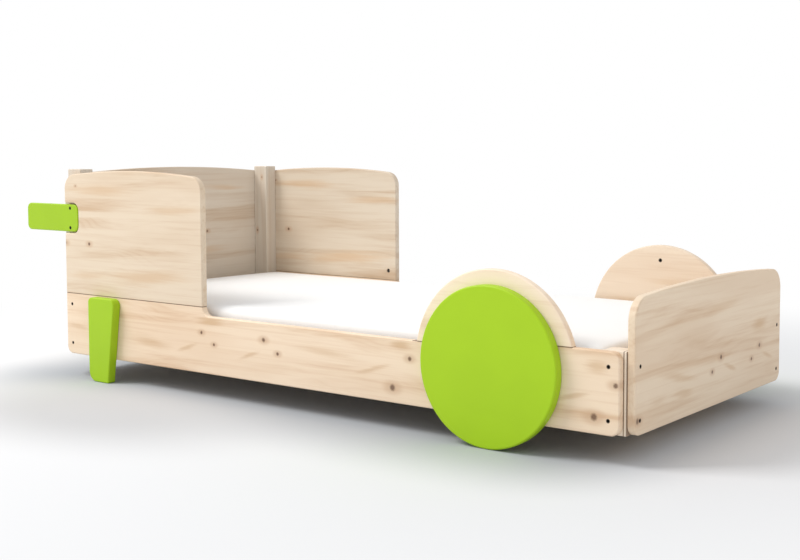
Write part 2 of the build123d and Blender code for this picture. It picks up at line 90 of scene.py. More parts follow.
def calculate(tree, operation, first, second=None, third=None):
    """A Math node on values or sockets."""
    step = add_node(tree, "ShaderNodeMath", operation=operation)
    for slot, value in enumerate((first, second, third)):
        if value is None:
            continue
        if isinstance(value, (int, float)):
            step.inputs[slot].default_value = value
        else:
            tree.links.new(value, step.inputs[slot])
    return step.outputs[0]


def vector_step(tree, operation, first, second=None):
    """A Vector Math node on a socket and, for some operations, a fixed vector or a socket."""
    step = add_node(tree, "ShaderNodeVectorMath", operation=operation)
    tree.links.new(first, step.inputs[0])
    if isinstance(second, tuple):
        step.inputs[1].default_value = second
    elif second is not None:
        tree.links.new(second, step.inputs[1])
    return step.outputs["Value" if operation == "LENGTH" else "Vector"]


def tint(tree, factor, colour, stain):
    """Two colours mixed by a factor. Each is a fixed colour or a socket."""
    mix = add_node(tree, "ShaderNodeMix", data_type="RGBA")
    tree.links.new(factor, mix.inputs["Factor"])
    for slot, value in ((6, colour), (7, stain)):
        if isinstance(value, tuple):
            mix.inputs[slot].default_value = value
        else:
            tree.links.new(value, mix.inputs[slot])
    return mix.outputs[2]


def mix_shaders(tree, factor, first, second):
    """Two shaders mixed by a factor."""
    blend = add_node(tree, "ShaderNodeMixShader")
    for slot, shader in enumerate((factor, first, second)):
        tree.links.new(shader, blend.inputs[slot])
    return blend.outputs[0]


floor_side = 60.0
floor_drop = 0.0005
bpy.ops.object.select_all(action="DESELECT")
bpy.ops.mesh.primitive_grid_add(
    x_subdivisions=8, y_subdivisions=8, size=floor_side, location=(0, 0, -floor_drop)
)
floor = bpy.context.object
floor.name = "studio_floor"
floor.data.transform(Matrix.Translation(floor.location))
floor.location = (0, 0, 0)

# Painted shadow: the paint goes from a darker, cooler near tone to the far one with the distance
# from the bed's footprint.
painted_shadow_tone = (0.482, 0.505, 0.538, 1)
far_paint = (0.805, 0.812, 0.832, 1)
footprint_middle = (-0.01, 0, 0)
footprint_reach = (0.94, 0.44, 0.1)
near_distance = 0.05
far_distance = 0.46
floor_material, tree, output = make_material("studio_floor_paint")
place = add_node(tree, "ShaderNodeTexCoord").outputs["Object"]
folded = vector_step(tree, "ABSOLUTE", vector_step(tree, "SUBTRACT", place, footprint_middle))
beyond = vector_step(tree, "SUBTRACT", folded, footprint_reach)
distance = vector_step(tree, "LENGTH", vector_step(tree, "MAXIMUM", beyond, (0, 0, 0)))
clear = soft_step(tree, distance, near_distance, far_distance)
paint = tint(tree, clear, painted_shadow_tone, far_paint)

# A soft oval of painted shade lies on the floor beside the head end, on the front side.
painted_oval_shade = (0.60, 0.605, 0.62, 1)
oval_middle = (-0.42, -0.82, 0)
oval_squeeze = (1.25, 2.2, 0)
from_middle = vector_step(tree, "SUBTRACT", place, oval_middle)
spread = vector_step(tree, "LENGTH", vector_step(tree, "MULTIPLY", from_middle, oval_squeeze))
paint = tint(tree, soft_step(tree, spread, 1.05, 0.2), paint, painted_oval_shade)

# Farther out the floor fades into plain white.
fade_start = 1.3
fade_end = 2.8
fade = soft_step(tree, vector_step(tree, "LENGTH", place), fade_start, fade_end)
matt = add_node(tree, "ShaderNodeBsdfDiffuse")
tree.links.new(paint, matt.inputs["Color"])
glow = add_node(tree, "ShaderNodeEmission", {"Color": (1, 1, 1, 1), "Strength": 1.0})
faded = mix_shaders(tree, fade, matt.outputs[0], glow.outputs[0])
tree.links.new(faded, output.inputs["Surface"])
floor.data.materials.append(floor_material)

# The camera and the reflections see plain white, and everything else is lit by the dome.
world = bpy.data.worlds.new("studio_dome")
bpy.context.scene.world = world
world.use_nodes = True
tree = world.node_tree
for old in list(tree.nodes):
    tree.nodes.remove(old)
output = add_node(tree, "ShaderNodeOutputWorld")
rays = add_node(tree, "ShaderNodeLightPath").outputs
seen = calculate(tree, "MAXIMUM", rays["Is Camera Ray"], rays["Is Glossy Ray"])
dome = add_node(tree, "ShaderNodeBackground", {"Color": (0.99, 0.995, 1, 1), "Strength": 0.74})
white = add_node(tree, "ShaderNodeBackground", {"Color": (1, 1, 1, 1), "Strength": 1.0})
surround = mix_shaders(tree, seen, dome.outputs[0], white.outputs[0])
tree.links.new(surround, output.inputs["Surface"])

soft_box_aim = Vector((0, 0, 0.2))
light = bpy.data.lights.new("front_soft_box", "AREA")
light.shape = "SQUARE"
light.size = 3.2
light.energy = 362
light.color = (1, 0.985, 0.96)
lamp = bpy.data.objects.new("front_soft_box", light)
lamp.location = (-4.0, -3.4, 6.0)
lamp.rotation_euler = (soft_box_aim - lamp.location).to_track_quat("-Z", "Y").to_euler()
bpy.context.scene.collection.objects.link(lamp)


# Side rails. Long boards of pale knotty pine under clear satin lacquer, their grain along the
# bed. Each is one board, cut lower in the middle, with its face edges rounded over, and is
# bolted to the corner posts.
def start_group(name, inputs, outputs):
    """An empty shader node group with the named sockets."""
    group = bpy.data.node_groups.new(name, "ShaderNodeTree")
    for socket, kind, value in inputs:
        made = group.interface.new_socket(socket, in_out="INPUT", socket_type=kind)
        made.default_value = value
    for socket, kind in outputs:
        group.interface.new_socket(socket, in_out="OUTPUT", socket_type=kind)
    return group, group.nodes.new("NodeGroupInput"), group.nodes.new("NodeGroupOutput")


def stretched_noise(tree, vector, stretch, detail, roughness, distortion=0.0):
    """Noise drawn out along the grain. stretch is cells per metre along, across and through."""
    noise = add_node(
        tree,
        "ShaderNodeTexNoise",
        {"Scale": 1.0, "Detail": detail, "Roughness": roughness, "Distortion": distortion},
    )
    tree.links.new(vector_step(tree, "MULTIPLY", vector, stretch), noise.inputs["Vector"])
    return noise.outputs["Fac"]


def face_length(tree, along, across):
    """How far a point is from nought, by its steps along and across a board."""
    step = add_node(tree, "ShaderNodeCombineXYZ")
    tree.links.new(along, step.inputs[0])
    tree.links.new(across, step.inputs[1])
    return vector_step(tree, "LENGTH", step.outputs[0])


# The grain: broad clouds, bands, fine streaks, and growth rings round a heart that lies behind
# the board, all mixed into one figure.
heart_depth = 0.07
ring_turn = 520.0
pine_grain, g_in, g_out = start_group(
    "pine_grain",
    [
        ("Vector", "NodeSocketVector", (0, 0, 0)),
        ("Pale wood", "NodeSocketColor", (0.90, 0.74, 0.55, 1)),
        ("Summer wood", "NodeSocketColor", (0.78, 0.58, 0.38, 1)),
        ("Figure", "NodeSocketFloat", 1.0),
    ],
    [("Color", "NodeSocketColor"), ("Height", "NodeSocketFloat"), ("Roughness", "NodeSocketFloat")],
)
vector = g_in.outputs["Vector"]
clouds = stretched_noise(pine_grain, vector, (1.4, 8, 8), 3, 0.5)
bands = stretched_noise(pine_grain, vector, (1.2, 18, 18), 4, 0.55, 0.6)
streaks = stretched_noise(pine_grain, vector, (2.2, 90, 90), 4, 0.6, 0.3)
fibres = stretched_noise(pine_grain, vector, (40, 1500, 1500), 2, 0.5)
drift = stretched_noise(pine_grain, vector, (2.2, 6, 6), 2, 0.5)
parts = add_node(pine_grain, "ShaderNodeSeparateXYZ")
pine_grain.links.new(vector, parts.inputs[0])
across = calculate(pine_grain, "MULTIPLY_ADD", drift, 0.16, parts.outputs["Y"])
through = calculate(pine_grain, "ADD", parts.outputs["Z"], heart_depth)
across_squared = calculate(pine_grain, "MULTIPLY", across, across)
through_squared = calculate(pine_grain, "MULTIPLY", through, through)
squares = calculate(pine_grain, "ADD", across_squared, through_squared)
radius = calculate(pine_grain, "SQRT", squares)
rings = calculate(pine_grain, "SINE", calculate(pine_grain, "MULTIPLY", radius, ring_turn))
rings = soft_step(pine_grain, rings, -0.1, 1.0)
cloud_mask = soft_step(pine_grain, clouds, 0.42, 0.64)
band_mask = soft_step(pine_grain, bands, 0.47, 0.70)
streak_mask = soft_step(pine_grain, streaks, 0.48, 0.70)
ring_share = calculate(pine_grain, "MULTIPLY_ADD", band_mask, 0.7, 0.06)
ring_mask = calculate(pine_grain, "MULTIPLY", rings, ring_share)
figure = calculate(pine_grain, "MULTIPLY", cloud_mask, 0.30)
for mask, share in ((band_mask, 0.52), (streak_mask, 0.26), (ring_mask, 0.24)):
    figure = calculate(pine_grain, "MULTIPLY_ADD", mask, share, figure)
figure = calculate(pine_grain, "MULTIPLY", figure, g_in.outputs["Figure"])
figure.node.use_clamp = True
wood = tint(pine_grain, figure, g_in.outputs["Pale wood"], g_in.outputs["Summer wood"])
pine_grain.links.new(wood, g_out.inputs["Color"])
fine_relief = calculate(pine_grain, "MULTIPLY", fibres, 0.5)
height = calculate(pine_grain, "MULTIPLY_ADD", streaks, 0.5, fine_relief)
pine_grain.links.new(height, g_out.inputs["Height"])
gloss = calculate(pine_grain, "MULTIPLY_ADD", streak_mask, 0.10, 0.46)
pine_grain.links.new(gloss, g_out.inputs["Roughness"])

# A knot: a dark core with a ragged edge, and a warm halo drawn out along the grain. A board has
# one of these for each of its knots, laid over one another.
pine_knot, g_in, g_out = start_group(
    "pine_knot",
    [
        ("Vector", "NodeSocketVector", (0, 0, 0)),
        ("Color", "NodeSocketColor", (1, 1, 1, 1)),
        ("Centre", "NodeSocketVector", (0, 0, 0)),
        ("Radius", "NodeSocketFloat", 0.005),
        ("Darkness", "NodeSocketFloat", 0.8),
        ("Core", "NodeSocketColor", (0.11, 0.048, 0.024, 1)),
        ("Halo", "NodeSocketColor", (0.58, 0.36, 0.21, 1)),
    ],
    [("Color", "NodeSocketColor")],
)
vector = g_in.outputs["Vector"]
offset = vector_step(pine_knot, "SUBTRACT", vector, g_in.outputs["Centre"])
parts = add_node(pine_knot, "ShaderNodeSeparateXYZ")
pine_knot.links.new(offset, parts.inputs[0])
along = calculate(pine_knot, "DIVIDE", parts.outputs["X"], g_in.outputs["Radius"])
across = calculate(pine_knot, "DIVIDE", parts.outputs["Y"], g_in.outputs["Radius"])
ragged = stretched_noise(pine_knot, vector, (260, 260, 20), 2, 0.5)
core_reach = face_length(pine_knot, along, across)
core_reach = calculate(pine_knot, "MULTIPLY_ADD", ragged, 0.45, core_reach)
core_mask = soft_step(pine_knot, core_reach, 1.45, 0.60)
drawn_along = calculate(pine_knot, "MULTIPLY", along, 0.42)
drawn_across = calculate(pine_knot, "MULTIPLY", across, 0.72)
halo_reach = face_length(pine_knot, drawn_along, drawn_across)
halo_mask = soft_step(pine_knot, halo_reach, 1.9, 0.5)
halo_strength = calculate(pine_knot, "MULTIPLY", halo_mask, 0.50)
haloed = tint(pine_knot, halo_strength, g_in.outputs["Color"], g_in.outputs["Halo"])
core_strength = calculate(pine_knot, "MULTIPLY", core_mask, g_in.outputs["Darkness"])
cored = tint(pine_knot, core_strength, haloed, g_in.outputs["Core"])
pine_knot.links.new(cored, g_out.inputs["Color"])

# A patch of darker resinous wood, drawn out along the grain and broken up by it.
on_the_face = (1, 1, 0)
pine_patch, g_in, g_out = start_group(
    "pine_patch",
    [
        ("Vector", "NodeSocketVector", (0, 0, 0)),
        ("Color", "NodeSocketColor", (1, 1, 1, 1)),
        ("Centre", "NodeSocketVector", (0, 0, 0)),
        ("Size", "NodeSocketVector", (0.05, 0.015, 1)),
        ("Slant", "NodeSocketFloat", 0.0),
        ("Strength", "NodeSocketFloat", 0.4),
        ("Stain", "NodeSocketColor", (0.66, 0.44, 0.25, 1)),
    ],
    [("Color", "NodeSocketColor")],
)
vector = g_in.outputs["Vector"]
turned = add_node(pine_patch, "ShaderNodeVectorRotate", rotation_type="Z_AXIS")
offset = vector_step(pine_patch, "SUBTRACT", vector, g_in.outputs["Centre"])
pine_patch.links.new(offset, turned.inputs["Vector"])
pine_patch.links.new(g_in.outputs["Slant"], turned.inputs["Angle"])
sized = vector_step(pine_patch, "DIVIDE", turned.outputs[0], g_in.outputs["Size"])
reach = vector_step(pine_patch, "LENGTH", vector_step(pine_patch, "MULTIPLY", sized, on_the_face))
broken = stretched_noise(pine_patch, vector, (5, 90, 30), 4, 0.65)
edge = calculate(pine_patch, "MULTIPLY_ADD", broken, 1.3, reach)
patch_mask = soft_step(pine_patch, edge, 1.6, 0.75)
patch_strength = calculate(pine_patch, "MULTIPLY", patch_mask, g_in.outputs["Strength"])
stained = tint(pine_patch, patch_strength, g_in.outputs["Color"], g_in.outputs["Stain"])
pine_patch.links.new(stained, g_out.inputs["Color"])

# A seam between two boards: painted shade that deepens its groove's own shade, at one height and
# between two ends.
groove_edge = 0.0018
groove_floor = 0.0012
seam_shade, g_in, g_out = start_group(
    "seam_shade",
    [
        ("Vector", "NodeSocketVector", (0, 0, 0)),
        ("Color", "NodeSocketColor", (1, 1, 1, 1)),
        ("Low end", "NodeSocketFloat", 0.0),
        ("High end", "NodeSocketFloat", 1.0),
        ("Height", "NodeSocketFloat", 0.0),
        ("Shade", "NodeSocketColor", (0.22, 0.13, 0.075, 1)),
    ],
    [("Color", "NodeSocketColor")],
)
parts = add_node(seam_shade, "ShaderNodeSeparateXYZ")
seam_shade.links.new(g_in.outputs["Vector"], parts.inputs[0])
rise = calculate(seam_shade, "SUBTRACT", parts.outputs["Y"], g_in.outputs["Height"])
past_low = calculate(seam_shade, "GREATER_THAN", parts.outputs["X"], g_in.outputs["Low end"])
before_high = calculate(seam_shade, "LESS_THAN", parts.outputs["X"], g_in.outputs["High end"])
inside = calculate(seam_shade, "MULTIPLY", past_low, before_high)
apart = calculate(seam_shade, "ABSOLUTE", rise)
groove = soft_step(seam_shade, apart, groove_edge, groove_floor, 0.0, 0.85)
groove = calculate(seam_shade, "MULTIPLY", groove, inside)
grooved = tint(seam_shade, groove, g_in.outputs["Color"], g_in.outputs["Shade"])
seam_shade.links.new(grooved, g_out.inputs["Color"])

# Painted shade: a dark rim round the bore of a sunk bolt or screw, deepening the hole's shade.
bolt_bore = 0.0044
bore_shade, g_in, g_out = start_group(
    "bore_shade",
    [
        ("Vector", "NodeSocketVector", (0, 0, 0)),
        ("Color", "NodeSocketColor", (1, 1, 1, 1)),
        ("Centre", "NodeSocketVector", (0, 0, 0)),
        ("Radius", "NodeSocketFloat", bolt_bore),
        ("Shade", "NodeSocketColor", (0.035, 0.022, 0.014, 1)),
    ],
    [("Color", "NodeSocketColor")],
)
offset = vector_step(bore_shade, "SUBTRACT", g_in.outputs["Vector"], g_in.outputs["Centre"])
reach = vector_step(bore_shade, "LENGTH", vector_step(bore_shade, "MULTIPLY", offset, on_the_face))
share = calculate(bore_shade, "DIVIDE", reach, g_in.outputs["Radius"])
rim = soft_step(bore_shade, share, 1.45, 1.05, 0.0, 0.9)
rimmed = tint(bore_shade, rim, g_in.outputs["Color"], g_in.outputs["Shade"])
bore_shade.links.new(rimmed, g_out.inputs["Color"])


def lay_over(tree, effect, vector, colour, values):
    """Lays a shared effect over a colour, and gives the colour that comes of it."""
    layer = add_node(tree, "ShaderNodeGroup", values, node_tree=effect)
    tree.links.new(vector, layer.inputs["Vector"])
    tree.links.new(colour, layer.inputs["Color"])
    return layer.outputs["Color"]


def board_place(tree, order):
    """The place on a piece, in the bed's metres, with its axes put in the order given."""
    place = add_node(tree, "ShaderNodeTexCoord")
    parts = add_node(tree, "ShaderNodeSeparateXYZ")
    tree.links.new(place.outputs["Object"], parts.inputs[0])
    board = add_node(tree, "ShaderNodeCombineXYZ")
    for slot, axis in enumerate(order):
        tree.links.new(parts.outputs[axis], board.inputs[slot])
    return board.outputs[0]


def pine_material(name, order, offset, pale, figure=1.0, knots=(), patches=(), seams=(), bores=()):
    """Pine with its grain along the first axis of order. Knots are (along, across, radius,
    darkness), patches (along, across, length, height, slant in degrees, strength), seams with
    painted shade in their grooves (low end, high end, height) and bores with rims of painted
    shade (along, across, radius), in the bed's metres."""
    material, tree, output = make_material(name)
    board = board_place(tree, order)
    shift = add_node(tree, "ShaderNodeMapping")
    shift.inputs["Location"].default_value = offset
    tree.links.new(board, shift.inputs["Vector"])
    summer = (pale[0] * 0.80, pale[1] * 0.69, pale[2] * 0.59, 1)
    grain = add_node(
        tree,
        "ShaderNodeGroup",
        {"Pale wood": (*pale, 1), "Summer wood": summer, "Figure": figure},
        node_tree=pine_grain,
    )
    tree.links.new(shift.outputs[0], grain.inputs["Vector"])
    colour = grain.outputs["Color"]
    for along, across, length, height, slant, strength in patches:
        values = {
            "Centre": (along, across, 0),
            "Size": (length, height, 1),
            "Slant": math.radians(slant),
            "Strength": strength,
        }
        colour = lay_over(tree, pine_patch, board, colour, values)
    for along, across, radius, darkness in knots:
        values = {"Centre": (along, across, 0), "Radius": radius, "Darkness": darkness}
        colour = lay_over(tree, pine_knot, board, colour, values)
    for low, high, height in seams:
        values = {"Low end": low, "High end": high, "Height": height}
        colour = lay_over(tree, seam_shade, board, colour, values)
    for along, across, radius in bores:
        values = {"Centre": (along, across, 0), "Radius": radius}
        colour = lay_over(tree, bore_shade, board, colour, values)
    bump = add_node(tree, "ShaderNodeBump", {"Strength": 0.25, "Distance": 0.0004})
    tree.links.new(grain.outputs["Height"], bump.inputs["Height"])
    surface = add_node(tree, "ShaderNodeBsdfPrincipled", {"IOR": 1.45})
    tree.links.new(colour, surface.inputs["Base Color"])
    tree.links.new(grain.outputs["Roughness"], surface.inputs["Roughness"])
    tree.links.new(bump.outputs["Normal"], surface.inputs["Normal"])
    tree.links.new(surface.outputs[0], output.inputs["Surface"])
    return material


def finish_node(name, material):
    """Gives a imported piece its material."""
    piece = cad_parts[name]
    piece.data.materials.clear()
    piece.data.materials.append(material)


rail_head_end = 969.5


def from_rail(x):
    """The place along the bed, in metres from its middle, of a point x millimetres from the
    rails' head end."""
    return (x - rail_head_end) / 1000


seam_height = 0.281
low_seam_height = 0.253
wheel_middle = from_rail(1750)
# The seams' grooves carry painted shade.
rail_seams = [
    (from_rail(-10), from_rail(671), seam_height),
    (from_rail(1490), wheel_middle, low_seam_height),
    (wheel_middle, from_rail(1989), seam_height),
]
rail_knots = [
    (from_rail(665), 0.202, 0.0058, 0.9),
    (from_rail(720), 0.169, 0.0052, 0.9),
    (from_rail(932), 0.203, 0.0075, 0.85),
    (from_rail(989), 0.167, 0.0058, 0.9),
    (from_rail(1482), 0.202, 0.0070, 0.85),
    (from_rail(1422), 0.117, 0.0105, 0.8),
    (from_rail(2051), 0.117, 0.0105, 0.8),
    (from_rail(2110), 0.200, 0.0075, 0.8),
]
rail_patches = [
    (from_rail(700), 0.238, 0.085, 0.020, 0, 0.75),
    (from_rail(1452), 0.236, 0.055, 0.022, 0, 0.75),
    (from_rail(2060), 0.240, 0.050, 0.024, 0, 0.6),
    (from_rail(420), 0.150, 0.13, 0.024, 5, 0.55),
    (from_rail(600), 0.150, 0.065, 0.010, -18, 0.6),
    (from_rail(868), 0.150, 0.065, 0.010, -18, 0.6),
    (from_rail(1350), 0.160, 0.085, 0.011, -16, 0.6),
    (from_rail(1985), 0.160, 0.085, 0.011, -16, 0.6),
    (from_rail(1180), 0.190, 0.16, 0.018, 3, 0.45),
    (from_rail(60), 0.170, 0.09, 0.014, 4, 0.5),
]
bolt_heights = (0.112, 0.244)
rail_bores = [(from_rail(x), z, bolt_bore) for x in (30, 2090) for z in bolt_heights]
rail_pine = pine_material(
    "rail_pine",
    "XZY",
    (0.2, 0.4, 0.1),
    (0.925, 0.745, 0.560),
    knots=rail_knots,
    patches=rail_patches,
    seams=rail_seams,
    bores=rail_bores,
)
finish_node("front_side_rail", rail_pine)
finish_node("back_side_rail", rail_pine)

# Tall side panels. Pine boards with an arched top that stand on the rails at the head end, with
# a seam between. Dowels and a cam connector hold each, and the handle lies in a recess of it.
panel_knots = [
    (from_rail(127), 0.451, 0.0062, 0.9),
    (from_rail(60), 0.6425, 0.0032, 0.5),
    (from_rail(6), 0.450, 0.0060, 0.3),
]
panel_patches = [
    (from_rail(420), 0.355, 0.30, 0.034, -3, 0.6),
    (from_rail(200), 0.630, 0.26, 0.026, 1, 0.55),
    (from_rail(560), 0.575, 0.20, 0.022, -2, 0.45),
    (from_rail(120), 0.345, 0.16, 0.020, -2, 0.45),
]
# Painted shade: the front panel's pine is darker and greyer than the rails', against the soft box's
# stronger light on it.
panel_pine = pine_material(
    "panel_pine",
    "XZY",
    (1.7, 0.13, 0.3),
    (0.800, 0.667, 0.512),
    1.1,
    panel_knots,
    panel_patches,
    rail_seams[:1],
)
finish_node("front_tall_side_panel", panel_pine)
# Painted shade: the back panel's pine is a darker, greyer copy, for its shaded inner face.
shaded_back_panel_pine = pine_material(
    "shaded_back_panel_pine",
    "XZY",
    (2.9, 0.31, 0.5),
    (0.735, 0.635, 0.510),
    1.1,
    panel_knots,
    panel_patches,
)
finish_node("back_tall_side_panel", shaded_back_panel_pine)

# Headboard and footboard. Pine boards with arched tops and the grain across the bed, bolted on
# the ends of the posts.
end_bolt_sides = (-0.434, 0.434)
top_bolt_height = 0.598
end_bolt_rows = [(y, z, bolt_bore) for y in end_bolt_sides for z in bolt_heights]
top_bolt_row = [(y, top_bolt_height, bolt_bore) for y in end_bolt_sides]
# Painted shade: the headboard's pine is darker and greyer than the rails', for its shaded inner
# face.
shaded_headboard_pine = pine_material(
    "shaded_headboard_pine",
    "YZX",
    (0.6, 0.9, 0.2),
    (0.745, 0.660, 0.555),
    knots=[(0.160, 0.454, 0.0055, 0.7)],
    patches=[(0.25, 0.62, 0.16, 0.016, 2, 0.5), (0.1, 0.38, 0.22, 0.026, -2, 0.45)],
    bores=end_bolt_rows + top_bolt_row,
)
finish_node("headboard", shaded_headboard_pine)
footboard_knots = [
    (0.035, 0.202, 0.0072, 0.9),
    (0.302, 0.200, 0.0068, 0.85),
    (-0.021, 0.169, 0.0055, 0.9),
    (0.245, 0.168, 0.0055, 0.9),
    (-0.447, 0.112, 0.0085, 0.75),
    (-0.4585, 0.386, 0.0040, 0.70),
]
footboard_patches = [
    (0.30, 0.262, 0.085, 0.024, 0, 0.8),
    (0.10, 0.165, 0.060, 0.010, 18, 0.6),
    (0.36, 0.165, 0.060, 0.010, 18, 0.6),
    (-0.22, 0.185, 0.14, 0.016, 10, 0.5),
    (-0.20, 0.140, 0.09, 0.024, 8, 0.5),
    (0.05, 0.340, 0.18, 0.018, -4, 0.4),
]
# Painted shade: the footboard's pine is a little darker than the rails', for its shaded outer face.
shaded_footboard_pine = pine_material(
    "shaded_footboard_pine",
    "YZX",
    (3.1, 0.45, 0.5),
    (0.858, 0.700, 0.524),
    knots=footboard_knots,
    patches=footboard_patches,
    bores=end_bolt_rows,
)
finish_node("footboard", shaded_footboard_pine)

# Corner posts. Sticks of solid pine with rounded corners and upright grain, to which the rails,
# panels and end boards are fastened. The head posts' pine is a darker, greyer copy, as painted
# shade. The foot posts show a strip with a line of painted shade at the joint on each side.
shaded_head_post_pine = pine_material(
    "shaded_head_post_pine",
    "ZXY",
    (0.3, 0.2, 0.6),
    (0.715, 0.645, 0.552),
    0.55,
    knots=[(0.445, -0.962, 0.0050, 0.7), (0.655, -0.935, 0.0040, 0.5)],
)
# Painted shade at the joints where the rail end and the footboard meet the foot posts.
post_seam_low = 0.05
post_seam_high = 0.30
post_seams = [(post_seam_low, post_seam_high, from_rail(x)) for x in (2120, 2128)]
foot_post_pine = pine_material(
    "foot_post_pine",
    "ZXY",
    (0.8, 0.5, 0.1),
    (0.90, 0.79, 0.65),
    0.55,
    seams=post_seams,
)
for side in ("front", "back"):
    finish_node(f"{side}_head_post", shaded_head_post_pine)
    finish_node(f"{side}_foot_post", foot_post_pine)

# Wheel guards. Half-round pine boards that stand on the rails behind the wheel discs, where
# dowels and the discs' own screws hold them. The top screw shows on their inner side.
guard_screw_height = 0.413
guard_screw_bore = 0.0050
guard_bores = [(wheel_middle, guard_screw_height, guard_screw_bore)]
guard_pine = pine_material(
    "guard_pine",
    "XZY",
    (0.9, 0.77, 0.4),
    (0.985, 0.825, 0.650),
    patches=[(from_rail(1800), 0.33, 0.12, 0.016, 2, 0.4)],
    seams=rail_seams[1:],
    bores=guard_bores,
)
finish_node("front_wheel_guard", guard_pine)
# Painted shade: the back guard's pine is a darker copy of the front guard's, for its shaded inner
# face.
shaded_back_guard_pine = pine_material(
    "shaded_back_guard_pine",
    "XZY",
    (1.3, 0.21, 0.8),
    (0.855, 0.705, 0.550),
    patches=[
        (from_rail(1800), 0.345, 0.16, 0.016, 2, 0.35),
        (from_rail(1700), 0.275, 0.22, 0.020, 0, 0.5),
    ],
    seams=rail_seams[1:],
    bores=guard_bores,
)
finish_node("back_wheel_guard", shaded_back_guard_pine)


# Wheel discs, feet and handles. Thick boards with rounded edges, screwed on, and sprayed with
# satin lime green lacquer that fills the grain but leaves a faint orange peel. The feet's and the
# handles' greens are darker, as painted shade against the soft box's stronger light on them.
def lacquer_material(name, colour, bores=()):
    """Sprayed satin lacquer with a faint cloudiness and orange peel. Bores, with rims of painted
    shade, are (along, height, radius), in the bed's metres."""
    material, tree, output = make_material(name)
    place = add_node(tree, "ShaderNodeTexCoord")
    cloud = stretched_noise(tree, place.outputs["Object"], (7, 7, 7), 2, 0.5)
    peel = stretched_noise(tree, place.outputs["Object"], (420, 420, 420), 2, 0.5)
    grain = stretched_noise(tree, place.outputs["Object"], (12, 12, 260), 3, 0.5)
    light = tuple(c * 1.015 for c in colour) + (1,)
    dark = tuple(c * 0.985 for c in colour) + (1,)
    paint = tint(tree, soft_step(tree, cloud, 0.35, 0.65), dark, light)
    side_place = board_place(tree, "XZY")
    bore_shade_green = (colour[0] * 0.12, colour[1] * 0.12, colour[2] * 0.3, 1)
    for along, height, radius in bores:
        values = {"Centre": (along, height, 0), "Radius": radius, "Shade": bore_shade_green}
        paint = lay_over(tree, bore_shade, side_place, paint, values)
    relief = calculate(tree, "MULTIPLY_ADD", grain, 0.5, peel)
    bump = add_node(tree, "ShaderNodeBump", {"Strength": 0.08, "Distance": 0.0004})
    tree.links.new(relief, bump.inputs["Height"])
    surface = add_node(tree, "ShaderNodeBsdfPrincipled", {"IOR": 1.40})
    tree.links.new(paint, surface.inputs["Base Color"])
    tree.links.new(soft_step(tree, peel, 0.3, 0.7, 0.42, 0.5), surface.inputs["Roughness"])
    tree.links.new(bump.outputs["Normal"], surface.inputs["Normal"])
    tree.links.new(surface.outputs[0], output.inputs["Surface"])
    return material


handle_screw_heights = (0.501, 0.567)
handle_screw_bore = 0.0048
handle_bores = [(from_rail(26), height, handle_screw_bore) for height in handle_screw_heights]
# The feet's and handles' greens are darker than the wheels', as painted shade.
wheel_lacquer = lacquer_material("wheel_lacquer", (0.402, 0.645, 0.0085))
shaded_foot_lacquer = lacquer_material("shaded_foot_lacquer", (0.378, 0.612, 0.0085))
shaded_handle_lacquer = lacquer_material("shaded_handle_lacquer", (0.352, 0.565, 0.0085), handle_bores)
for side in ("front", "back"):
    finish_node(f"{side}_wheel_disc", wheel_lacquer)
    finish_node(f"{side}_foot", shaded_foot_lacquer)
    finish_node(f"{side}_handle", shaded_handle_lacquer)

# Slats and the ledges under them. Planed pine left bare. The ledges are screwed along the
# rails' inner faces, and the slats lie across the bed, screwed down on them.
slat_count = 15
bare_pine = (0.86, 0.70, 0.51)
slat_pine = pine_material("slat_pine", "YXZ", (0.5, 0.3, 0.9), bare_pine, 1.1)
for number in range(1, slat_count + 1):
    finish_node(f"slat_{number:02d}", slat_pine)
ledge_pine = pine_material("ledge_pine", "XZY", (0.8, 0.2, 0.4), bare_pine, 1.1)
finish_node("front_slat_ledge", ledge_pine)
finish_node("back_slat_ledge", ledge_pine)


# Mattress. A foam core in a plain woven cover. The solid is remeshed a little smaller, blown up
# as cloth, and held to a few millimetres, so that its faces are soft and its edges stay round.
inset = 0.005
voxel_side = 0.016
cloth_frames = 20
swell_limit = 0.0045
mattress_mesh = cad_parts["mattress"].data.copy()
work = bmesh.new()
work.from_mesh(mattress_mesh)
bmesh.ops.remove_doubles(work, verts=work.verts, dist=0.00001)
low = Vector([min(v.co[i] for v in work.verts) for i in range(3)])
high = Vector([max(v.co[i] for v in work.verts) for i in range(3)])
middle = (low + high) / 2
for vertex in work.verts:
    vertex.co.x = middle.x + (vertex.co.x - middle.x) * (1 - 2 * inset / (high.x - low.x))
    vertex.co.z = high.z + (vertex.co.z - high.z) * (1 - inset / (high.z - low.z))
bmesh.ops.recalc_face_normals(work, faces=work.faces)
work.to_mesh(mattress_mesh)
work.free()
mattress = bpy.data.objects.new("mattress_cover", mattress_mesh)
bpy.context.scene.collection.objects.link(mattress)
bpy.ops.object.select_all(action="DESELECT")
mattress.select_set(True)
bpy.context.view_layer.objects.active = mattress
voxels = mattress.modifiers.new("voxels", "REMESH")
voxels.mode = "VOXEL"
voxels.voxel_size = voxel_side
bpy.ops.object.modifier_apply(modifier="voxels")
cloth = mattress.modifiers.new("cloth", "CLOTH")
cloth.settings.use_pressure = True
cloth.settings.uniform_pressure_force = 4.0
cloth.settings.effector_weights.gravity = 0.0
cloth.settings.quality = 4
cloth.collision_settings.use_collision = False
cloth.point_cache.frame_start = 1
cloth.point_cache.frame_end = cloth_frames
for step in range(1, cloth_frames + 1):
    bpy.context.scene.frame_set(step)
blown = mattress.evaluated_get(bpy.context.evaluated_depsgraph_get()).to_mesh()
moved = [point.co.copy() for point in blown.vertices]
mattress.modifiers.remove(cloth)
for vertex, swollen in zip(mattress.data.vertices, moved):
    shift = swollen - vertex.co
    if shift.length > swell_limit:
        shift = shift.normalized() * swell_limit
    vertex.co = vertex.co + shift
